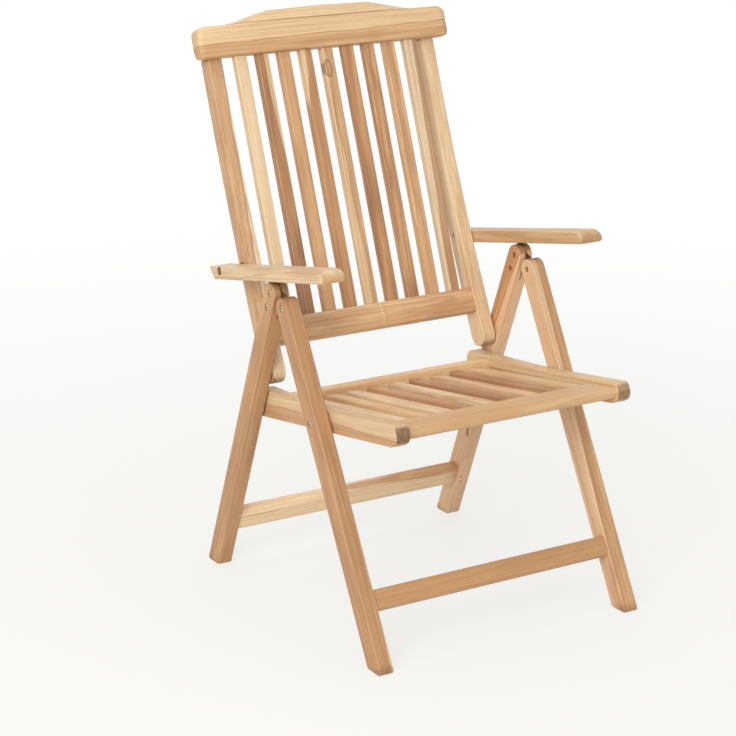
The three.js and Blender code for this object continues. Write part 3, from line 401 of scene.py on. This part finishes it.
def teak(name, node, board_frame, axes, seed, light=HONEY, heart=TAN, dark=BROWN, sap=SAPWOOD,
         pith=(60, 45), lean=(0.02, 0.01), ring=4.2, sap_radius=300, figure=0.5, grain=0.45,
         end=END_GRAIN, end_share=0.5, knot=None, edge_line=0.5, edge_width=2.5, marks=(), pegs=(),
         holes=(), worn_foot=0, paleness=1):
    """Sanded and oiled teak, sawn from a log whose pith lies beside the board.

    Lengths are in mm from the board's middle: x along the grain, y across the board, z through it.
    light, heart: the ground colours, in bands of rings; dark: ring lines, streaks and stains.
    pith, lean: y and z of the pith, and how much they grow per mm of x; ring: a year's growth.
    sap, sap_radius: the colour of the log's outer wood, and the distance from the pith where it begins,
    with a dark line there (edge_line, edge_width).
    figure, grain: strength of the rings and stains, and of the streaks and gleams.
    end, end_share: colour and strength of the end grain.
    knot: x, y, length, width, and how far it pushes the rings aside.
    marks: x, y, length, width, share and colour of each smear; the crest's one is a painted shade line. pegs:
    x, z and radius of each peg.
    holes: place in the scene and radius of each hole through the board; the wood in it is painted dark as
    shade.
    worn_foot: strength of the darkening towards the board's low end. paleness: factor on every colour.
    """
    shader = new_material(name)
    coordinates = shader.node("ShaderNodeTexCoord", None, None, "Object")
    local, half, grain_way = board_space(shader, coordinates, node, board_frame, axes)
    x, y, z = shader.parts(local)
    shift = seed * SEED_STEP
    noise = figures(shader, (x, y, z), shift)
    ripple = noise["ripple"] - 0.5
    fibre = noise["fibre"]
    drawn = {key: noise[key].smooth(*step) for key, step in SETS_IN.items()}

    # Rings round a pith that wanders a little
    rise = y - pith[0] - x * lean[0] + stray(shader, x, 1, seed, **STRAY_ACROSS)
    depth = z - pith[1] - x * lean[1] + stray(shader, x, -1, seed, **STRAY_THROUGH)
    radius = (rise * rise + depth * depth) ** 0.5 + ripple * RIPPLE_REACH
    if knot:
        eye, push = knot_bump(x, y, ripple, knot)
        radius = radius + push
    count = radius / ring
    band_noise = shader.noise(shader.vector(count * BAND_PACE, shift, BAND_LAYER), roughness=0.6)
    band = band_noise.smooth(*BAND_STEP)
    strong_noise = shader.noise(shader.vector(count * STRONG_PACE, shift, STRONG_LAYER), detail=0)
    strong = strong_noise.smooth(*STRONG_STEP)
    line = shader.node("ShaderNodeValToRGB", {"stops": RING_STOPS}, {0: count.part()})
    lines = line * (strong * (1 - WEAK_LINE) + WEAK_LINE)

    def shade(text):
        return tone(text, paleness)

    colour = shader.blend(band, shade(light), shade(heart))

    def lay(share, text):
        nonlocal colour
        colour = shader.blend(share, colour, shade(text))

    lay(drawn["stain"] * figure, dark)
    lay(lines * figure, dark)

    # Sapwood outside the heart, and a dark line between them
    outside = radius.smooth(sap_radius - SAP_EDGE, sap_radius + SAP_EDGE)
    sap_tone = shader.blend(band * SAP_BAND + lines * SAP_LINE, shade(sap), shade(light))
    colour = shader.blend(outside, colour, sap_tone)
    lay(abs(radius - sap_radius).smooth(edge_width, 0) * edge_line, dark)

    if knot:
        lay(eye.smooth(*KNOT_FILL) * KNOT_FILL_SHARE, BROWN)
        off_rim = abs(eye - KNOT_RIM + rise.smooth(*KNOT_DRIFT) * KNOT_DRIFT_REACH)
        lay(off_rim.smooth(*KNOT_RIM_WIDTH) * rise.smooth(*KNOT_RIM_SIDE) * KNOT_RIM_SHARE, DARK)

    lay(drawn["streak"] * grain, dark)
    lay(drawn["gleam"] * grain * GLEAM_SHARE, sap)
    lay(drawn["fibre"] * FIBRE_SHARE, dark)
    lay(drawn["pore"] * PORE_SHARE, DARK)
    lay(drawn["cloud"] * CLOUD_SHARE, dark)

    # Smears; the crest's one is a painted shade line along an arris
    for mark_x, mark_y, length, width, share, mark in marks:
        spread = ((x - mark_x) / length) ** 2 + ((y - mark_y + ripple * MARK_RIPPLE) / width) ** 2
        lay(spread.decay() * share, mark)
    for peg_x, peg_z, peg_radius in pegs:
        reach = ((x - peg_x) ** 2 + (z - peg_z) ** 2) ** 0.5
        lay(reach.smooth(*[peg_radius + edge for edge in PEG_EDGE]), DARK)
    # Painted shade: the wood round each bolt, inside its hole, is laid in the SHADE colour
    for middle, hole_radius in holes:
        _, back, up = shader.parts(coordinates)
        reach = ((back - middle.y) ** 2 + (up - middle.z) ** 2) ** 0.5 / MM
        lay(reach.smooth(*[hole_radius + edge for edge in HOLE_SHADE_EDGE]), SHADE)
    if worn_foot:
        lay(x.smooth(*[above - half[0] for above in FOOT_DARKENING]) * worn_foot, DARK)

    # End grain drinks more oil, and the arrises are rubbed paler
    normal = shader.node("ShaderNodeTexCoord", None, None, "Normal")
    cosine = shader.node("ShaderNodeVectorMath", {"operation": "DOT_PRODUCT"}, {0: normal, 1: grain_way}, 1)
    uneven = shader.noise(local, scale=END_SCALE, detail=3).smooth(*END_STEP)
    ends = abs(cosine).smooth(*END_FACING) * (uneven * END_UNEVEN + (1 - END_UNEVEN))
    lay(ends * end_share, end)
    rub = near_edge(y, half[1]) * near_edge(z, half[2])
    rub = rub * shader.noise(local, scale=RUB_SCALE).smooth(*RUB_STEP)
    lay(rub * RUB_SHARE, sap)

    pore = drawn["pore"]
    roughness = fibre * FIBRE_ROUGH + pore * PORE_ROUGH + ends * END_ROUGH + GROUND_ROUGH - lines * LINE_GLOSS
    height = fibre * FIBRE_RAISED - pore * PORE_SUNK - lines * LINE_SUNK + rub * RUB_RAISED
    surface = {"Base Color": colour, "Roughness": roughness, "IOR": OIL_IOR}
    return shader.finish(surface, height, WOOD_RELIEF, WOOD_BUMP)


SCRATCH_SCALE = 900
SHEEN_SCALE, SHEEN_STEP = 90, (0.3, 0.75)
SCRATCH_ROUGH, SHEEN_ROUGH = 0.14, 0.08
STEEL_RELIEF, STEEL_BUMP = 0.00003, 0.5


def steel(name, bright, dull, rough):
    """Plain stainless steel, a little uneven in sheen."""
    shader = new_material(name)
    coordinates = shader.node("ShaderNodeTexCoord", None, None, "Object")
    fine = shader.noise(coordinates, scale=SCRATCH_SCALE, detail=3)
    broad = shader.noise(coordinates, scale=SHEEN_SCALE)
    colour = shader.blend(broad.smooth(*SHEEN_STEP), tone(bright), tone(dull))
    roughness = fine * SCRATCH_ROUGH + rough + broad * SHEEN_ROUGH
    surface = {"Base Color": colour, "Roughness": roughness, "Metallic": 1.0}
    return shader.finish(surface, fine, STEEL_RELIEF, STEEL_BUMP)


def settle(node, material):
    """Gives a carried-over solid its material."""
    piece = nodes[node]
    piece.data.materials.clear()
    piece.data.materials.append(material)


def body_of(node):
    return next(body for body, empty in frame["bodies"].items() if nodes[node].parent == empty)


def stand_for(piece, node):
    """Puts a new piece in the scene in a carried-over solid's stead."""
    scene.collection.objects.link(piece)
    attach(piece, body_of(node))
    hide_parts(node)


SHARP = math.radians(50)
SAME_PLACE = 0.002 * MM


def smoothed(shape, name):
    """A mesh of a shape, smooth-shaded apart from its crisp edges. The shape is used up."""
    for face in shape.faces:
        face.smooth = True
    for edge in shape.edges:
        edge.smooth = edge.calc_face_angle(math.pi) < SHARP
    mesh = bpy.data.meshes.new(name)
    shape.to_mesh(mesh)
    shape.free()
    return mesh


def softened(node, material, flats_lead=True):
    """A smooth-shaded twin of a carried-over solid that stands for it."""
    shape = bmesh.new()
    shape.from_mesh(nodes[node].data)
    bmesh.ops.remove_doubles(shape, verts=shape.verts, dist=SAME_PLACE)
    mesh = smoothed(shape, f"{node}_smooth")
    if "custom_normal" in mesh.attributes:
        mesh.attributes.remove(mesh.attributes["custom_normal"])
    mesh.materials.clear()
    mesh.materials.append(material)
    piece = bpy.data.objects.new(f"{node}_smooth", mesh)
    if flats_lead:
        weighted = piece.modifiers.new("even_shading", "WEIGHTED_NORMAL")
        weighted.keep_sharp = True
    stand_for(piece, node)


# Timber
def plain(node, board_frame, axes, seed, **character):
    settle(node, teak(f"teak_{node}", node, board_frame, axes, seed, **character))


def shaped(node, board_frame, axes, seed, flats_lead=True, **character):
    softened(node, teak(f"teak_{node}", node, board_frame, axes, seed, **character), flats_lead)


# Painted shade: within this radius round an armrest's bolt the wood is laid dark, as the shade in its hole
ARM_HOLE_SHADE_RADIUS = 7.5  # mm, the radius of the hole over an armrest's bolt


def bolt_hole_shade(bolt_name):
    """The place and radius in mm of the hole that a bolt sits in, where the wood is painted with shade."""
    low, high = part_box(bolt_name)
    return (((low + high) / 2, ARM_HOLE_SHADE_RADIUS),)


# A pale strip of sapwood along one arris, which also stands in for a painted highlight on that edge
shaped("front_leg_right", FRONT_LEG, "VUX", 1, pith=(16, -70), light=OCHRE, heart=BROWN,
       dark=RED_BROWN, sap=CREAM, sap_radius=84, edge_line=0.2, paleness=0.93, worn_foot=0.5)
shaped("front_leg_left", FRONT_LEG, "VUX", 2, pith=(12, 44), lean=(0.0, 0.025), light=HONEY,
       heart=OCHRE, dark=RED_BROWN, sap=ROSE, sap_radius=51.8, grain=0.35, edge_line=0.7,
       paleness=1.04, worn_foot=0.5,
       marks=((-120, -6, 130, 4, 0.6, BROWN), (90, 12, 60, 3, 0.4, BROWN), (-340, 0, 110, 14, 0.6, BROWN)))
shaped("rear_leg_right", REAR_LEG, "VUX", 3, pith=(20, 48), light=TAN, heart=OCHRE, dark=RED_BROWN,
       sap=HONEY, paleness=0.97, worn_foot=0.55)
shaped("rear_leg_left", REAR_LEG, "VUX", 4, pith=(-80, -20), lean=(0.07, 0.0), light=OCHRE,
       heart=BROWN, dark=RED_BROWN, sap=ROSE, sap_radius=70, edge_line=0.3, figure=0.25, grain=0.2,
       paleness=1.15, worn_foot=0.5, pegs=((-230, -7.5, 1.9), (-245, -4, 2.1)))
plain("front_stretcher", FRONT_LEG, "XVU", 5, pith=(10, 90), light=OCHRE, heart=OCHRE,
      dark=RED_BROWN, sap=TAN, figure=0.2)
plain("rear_stretcher", REAR_LEG, "XVU", 6, pith=(80, 10), lean=(-0.045, 0), sap_radius=56,
      end_share=0.3, paleness=1.14,
      marks=((262, 6, 22, 24, 0.8, BROWN), (-215, 10, 60, 2.5, 0.6, BROWN)))
shaped("seat_side_rail_right", SEAT, "UVX", 7, pith=(-70, 8), lean=(0.03, 0), sap_radius=66,
       light=TAN, heart=OCHRE, dark=RED_BROWN, sap=CREAM, end=DUSK, end_share=0.85, paleness=0.95)
shaped("seat_side_rail_left", SEAT, "UVX", 8, pith=(-70, 8), sap_radius=72, sap=CREAM, end=DUSK,
       end_share=0.6, paleness=0.94)
shaped("back_stile_right", BACK, "VUX", 9, pith=(-6, -44), lean=(0, 0.012), light=ROSE,
       dark=RED_BROWN, sap_radius=52, edge_line=0.9, paleness=0.96)
shaped("back_stile_left", BACK, "VUX", 10, pith=(50, 30), light=SAPWOOD, heart=CREAM, dark=OCHRE,
       figure=0.45, paleness=0.97)
shaped("armrest_right", ARM, "UXV", 11, pith=(-40, 30), lean=(0.05, 0.03), light=SAPWOOD,
       heart=CREAM, end=OCHRE, end_share=0.7, paleness=0.93, holes=bolt_hole_shade("armrest_bolt_right"),
       marks=((-60, -6, 60, 5, 0.35, BROWN), (30, 8, 50, 3, 0.3, BROWN), (120, 0, 46, 5, 0.4, BROWN)))
shaped("armrest_left", ARM, "UXV", 12, pith=(-40, 30), light=CREAM, heart=HONEY, end=BROWN,
       end_share=0.6, paleness=0.86, holes=bolt_hole_shade("armrest_bolt_left"))
plain("seat_front_rail", SEAT, "XUV", 15, pith=(80, 30), dark=OCHRE, paleness=0.92)
plain("seat_rear_rail", SEAT, "XVU", 16, pith=(60, 30), light=CREAM, heart=HONEY, paleness=1.03)
# Its mark is a painted shade line along the arris between the front face and the hump
shaped("crest_rail", BACK, "XVU", 17, flats_lead=False, pith=(-110, 10), lean=(0.012, 0),
       sap_radius=94, sap=CREAM, end_share=0.12, edge_line=1, edge_width=1.8, paleness=0.97,
       marks=((0, 17.6, 230, 1.5, 0.9, DARK),))
plain("lower_back_rail", LOWER_RAIL, "XVU", 18, pith=(10, 34), lean=(0.0, 0.06), dark=RED_BROWN,
      paleness=1.08, marks=((13, 0, 3, 17, 0.4, CREAM), (19, 0, 3, 17, 0.3, BROWN)))

BACK_SLATS = (
    dict(light=SAPWOOD, heart=CREAM, dark=TAN, figure=0.25, grain=0.15, paleness=0.9),
    dict(light=BROWN, heart=RED_BROWN, dark=DARK, pith=(-40, 6), lean=(-0.045, 0), sap_radius=52.5,
         figure=0.7, grain=0.6, sap=CREAM, paleness=0.99),
    dict(light=TAN, dark=RED_BROWN, grain=0.5, sap=CREAM, paleness=1.03),
    dict(light=OCHRE, heart=BROWN, dark=RED_BROWN, pith=(40, 6), lean=(0.045, 0), sap_radius=57,
         sap=CREAM, grain=0.5, paleness=0.98),
    dict(dark=RED_BROWN, pith=(36, 8), lean=(-0.02, 0), sap_radius=41, sap=CREAM,
         knot=(213, -5, 15, 8, 9), paleness=0.98,
         marks=((120, -7, 80, 1.6, 0.9, RED_BROWN), (0, -2, 70, 1.2, 0.6, BROWN))),
    dict(light=OCHRE, heart=RED_BROWN, dark=DARK, figure=0.7, grain=0.6, ring=3.2, sap=OCHRE,
         paleness=1.13),
    dict(light=TAN, heart=BROWN, dark=DARK, figure=0.7, grain=0.6, ring=3.2, sap=TAN, paleness=1.08),
    dict(heart=OCHRE, dark=RED_BROWN, figure=0.6, grain=0.55, ring=3.4, sap=CREAM, paleness=1.06),
    dict(light=TAN, heart=OCHRE, dark=RED_BROWN, pith=(38, 6), lean=(0.03, 0), sap_radius=40,
         paleness=0.92),
)
SEAT_SLATS = (
    dict(light=SAPWOOD, heart=CREAM, figure=0.4, paleness=1.02),
    dict(light=CREAM, heart=HONEY, grain=0.5, paleness=1.05),
    dict(light=SAPWOOD, heart=CREAM, dark=OCHRE, figure=0.4, grain=0.5, paleness=0.95),
    dict(light=OCHRE, heart=BROWN, dark=RED_BROWN, sap=TAN, paleness=1.04),
    dict(light=SAPWOOD, heart=CREAM, figure=0.6, grain=0.6, paleness=1.02),
    dict(light=BROWN, heart=RED_BROWN, dark=DARK, sap=OCHRE, paleness=1.15),
    dict(light=CREAM),
    dict(light=OCHRE, heart=BROWN, dark=RED_BROWN, sap=TAN, paleness=0.93),
    dict(light=CREAM, heart=HONEY, dark=OCHRE, grain=0.5, paleness=0.94),
)
BACK_SLAT_SEED = 20
SEAT_SLAT_SEED = 40
for number, character in enumerate(BACK_SLATS, 1):
    plain(f"back_slat_{number}", BACK, "VXU", BACK_SLAT_SEED + number, **character)
for number, character in enumerate(SEAT_SLATS, 1):
    plain(f"seat_slat_{number}", SEAT, "UXV", SEAT_SLAT_SEED + number, **character)

# Bolts: a domed head with a hexagon socket at the outer end, a sleeve nut like it at the inner end
BOLTS = ("leg_hinge_bolt", "plate_bolt_upper", "plate_bolt_lower", "seat_pivot_bolt", "armrest_bolt")
TURN_STEPS = 36
NUT_SHARE = 0.84  # of the head's radius
SHANK_SHARE = 0.54
HEXAGON, ROUND = 6, 1
# PAINTED_SHADE is a dark steel painted as shade, in the sockets and round the head's rim where the bore's gap
# is
BRIGHT, PAINTED_SHADE, BODY = 0, 1, 2  # a bolt's materials
# Rings of an end, from its socket to its rim: depth in mm, share of the end's radius, shape, and the material
# from here to the next ring where the end is the bright one. The PAINTED_SHADE rings are painted shade, down
# in the socket and round the rim.
END_RINGS = (
    (1.6, 0.36, HEXAGON, PAINTED_SHADE),
    (0.2, 0.36, HEXAGON, PAINTED_SHADE),
    (0, 0.42, ROUND, BRIGHT),
    (0.1, 0.6, ROUND, BRIGHT),
    (0.35, 0.8, ROUND, BRIGHT),
    (0.75, 0.93, ROUND, PAINTED_SHADE),
    (1.35, 1, ROUND, PAINTED_SHADE),
    (2.5, 1, ROUND, PAINTED_SHADE),
)


def ring_radius(radius, sides, angle):
    if sides == ROUND:
        return radius
    sector = 2 * math.pi / sides
    return radius / math.cos((angle + sector / 2) % sector - sector / 2)


def end_rings(place, inwards, radius, shank):
    """The rings of a bolt's end at a place along X, from its socket to its shank: place, radius and shape."""
    rings = [(place + inwards * depth * MM, radius * share, sides) for depth, share, sides, _ in END_RINGS]
    return rings + [(rings[-1][0], shank, ROUND)]


def bolt_mesh(name, middle, inner, outer, radius, head_bright):
    """A closed turned body along X, with a hexagon socket in each end. One of its ends is the bright one,
    with painted shade in its socket and round its rim; the rest has the body's material."""
    inwards = -1 if outer > inner else 1
    shank = radius * SHANK_SHARE
    rings = end_rings(outer, inwards, radius, shank)
    rings += reversed(end_rings(inner, -inwards, radius * NUT_SHARE, shank))
    shape = bmesh.new()
    loops = []
    for place, reach, sides in rings:
        loop = []
        for step in range(TURN_STEPS):
            angle = 2 * math.pi * step / TURN_STEPS
            out = ring_radius(reach, sides, angle)
            corner = (place, middle.y + out * math.cos(angle), middle.z + out * math.sin(angle))
            loop.append(shape.verts.new(corner))
        loops.append(loop)

    looks = [look for *_, look in END_RINGS]
    looks += [BODY] * (len(loops) - 1 - len(looks))
    caps = [PAINTED_SHADE, BODY]
    if not head_bright:
        looks.reverse()
        caps.reverse()
    for look, one, other in zip(looks, loops, loops[1:]):
        for step in range(TURN_STEPS):
            after = (step + 1) % TURN_STEPS
            face = shape.faces.new((one[step], one[after], other[after], other[step]))
            face.material_index = look
    for loop, look in zip((loops[0], loops[-1]), caps):
        shape.faces.new(loop).material_index = look
    bmesh.ops.recalc_face_normals(shape, faces=shape.faces)
    return smoothed(shape, name)


def bolt(node, side, head_bright, materials):
    low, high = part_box(node)
    inner, outer = (low.x, high.x) if side == "left" else (high.x, low.x)
    radius = (high.y - low.y) / 2
    mesh = bolt_mesh(f"{node}_turned", (low + high) / 2, inner, outer, radius, head_bright)
    for material in materials:
        mesh.materials.append(material)
    stand_for(bpy.data.objects.new(f"{node}_turned", mesh), node)


bolt_steel = steel("bolt_steel", "ece2c4", "cfc09a", 0.28)
# Dark steel, painted shade in the bolts' sockets and round their heads' rims
shade_steel = steel("shade_steel", "7a5f45", "54402e", 0.5)
# Near-black steel, painted shade for the part of an armrest's bolt deep in its hole
hole_shade_steel = steel("hole_shade_steel", "3a2c20", "2a2018", 0.6)
nut_bronze = steel("nut_bronze", "b98e68", "8f6a4a", 0.5)
plate_steel = steel("plate_steel", "8d6f49", "6c5436", 0.42)
for side in SIDES:
    for kind in BOLTS:
        # An armrest's bolt sits deep in its hole, and its inner end is the one that shows; its outer end and
        # shank are painted near-black, as the shade in the hole
        deep = kind == "armrest_bolt"
        bolt(f"{kind}_{side}", side, not deep, (bolt_steel, shade_steel, hole_shade_steel if deep else nut_bronze))
    softened(f"hinge_plate_{side}", plate_steel)
for node in nodes:
    if "pin_" in node or "washer" in node:
        settle(node, plate_steel)


# Studio
FLOOR_REACH = 14  # metres
FLOOR_FADE = (0.3, 3.2)  # metres from the chair between which the floor turns white
# Painted shade: the floor's white glow is a touch darker near the chair, fading out over FLOOR_FADE
FLOOR_NEAR = "fbfbf8"
FLOOR_FAR = "ffffff"
FLOOR_COLOUR = (0.8, 0.79, 0.77, 1)
SHADOW_SHARE = 0.25  # how much of the lit floor, with its shadows, shows beside the chair
WHITE = (1, 1, 1, 1)
WORLD_LIGHT = 0.52
LAMPS_AIM = Vector((0, 0, 0.5))


def floor():
    mesh = bpy.data.meshes.new("floor")
    corners = [(a * FLOOR_REACH, b * FLOOR_REACH, 0) for a, b in ((-1, -1), (1, -1), (1, 1), (-1, 1))]
    mesh.from_pydata(corners, [], [(0, 1, 2, 3)])
    sheet = bpy.data.objects.new("floor", mesh)
    scene.collection.objects.link(sheet)
    shader = new_material("studio_floor")
    place = shader.node("ShaderNodeTexCoord", None, None, "Object")
    away = shader.node("ShaderNodeVectorMath", {"operation": "LENGTH"}, {0: place}, 1)
    far = away.smooth(*FLOOR_FADE)
    lit = shader.node("ShaderNodeBsdfDiffuse", None, {"Color": FLOOR_COLOUR})
    glow = shader.blend(far, tone(FLOOR_NEAR), tone(FLOOR_FAR))
    white = shader.node("ShaderNodeEmission", None, {"Color": glow})
    share = shader.seen() * (far * SHADOW_SHARE + (1 - SHADOW_SHARE))
    both = shader.node("ShaderNodeMixShader", None, {0: share, 1: lit, 2: white})
    shader.node("ShaderNodeOutputMaterial", None, {"Surface": both})
    mesh.materials.append(shader.owner)


def backdrop():
    shader = Shader(bpy.data.worlds.new("studio"))
    lit = shader.node("ShaderNodeBackground", None, {"Color": WHITE, "Strength": WORLD_LIGHT})
    white = shader.node("ShaderNodeBackground", None, {"Color": WHITE, "Strength": 1})
    both = shader.node("ShaderNodeMixShader", None, {0: shader.seen(), 1: lit, 2: white})
    shader.node("ShaderNodeOutputWorld", None, {"Surface": both})
    scene.world = shader.owner


def lamp(name, place, size, power):
    light = bpy.data.lights.new(name, "AREA")
    light.shape = "SQUARE"
    light.size = size
    light.energy = power
    made = bpy.data.objects.new(name, light)
    scene.collection.objects.link(made)
    made.location = place
    made.rotation_euler = (LAMPS_AIM - made.location).to_track_quat("-Z", "Y").to_euler()


floor()
backdrop()
lamp("key", (-3.75, -3.1, 2.9), 3.4, 212)
lamp("top", (0.2, 0.2, 4.5), 3.0, 45)
lamp("rear", (2.0, 4.5, 2.5), 3.0, 25)
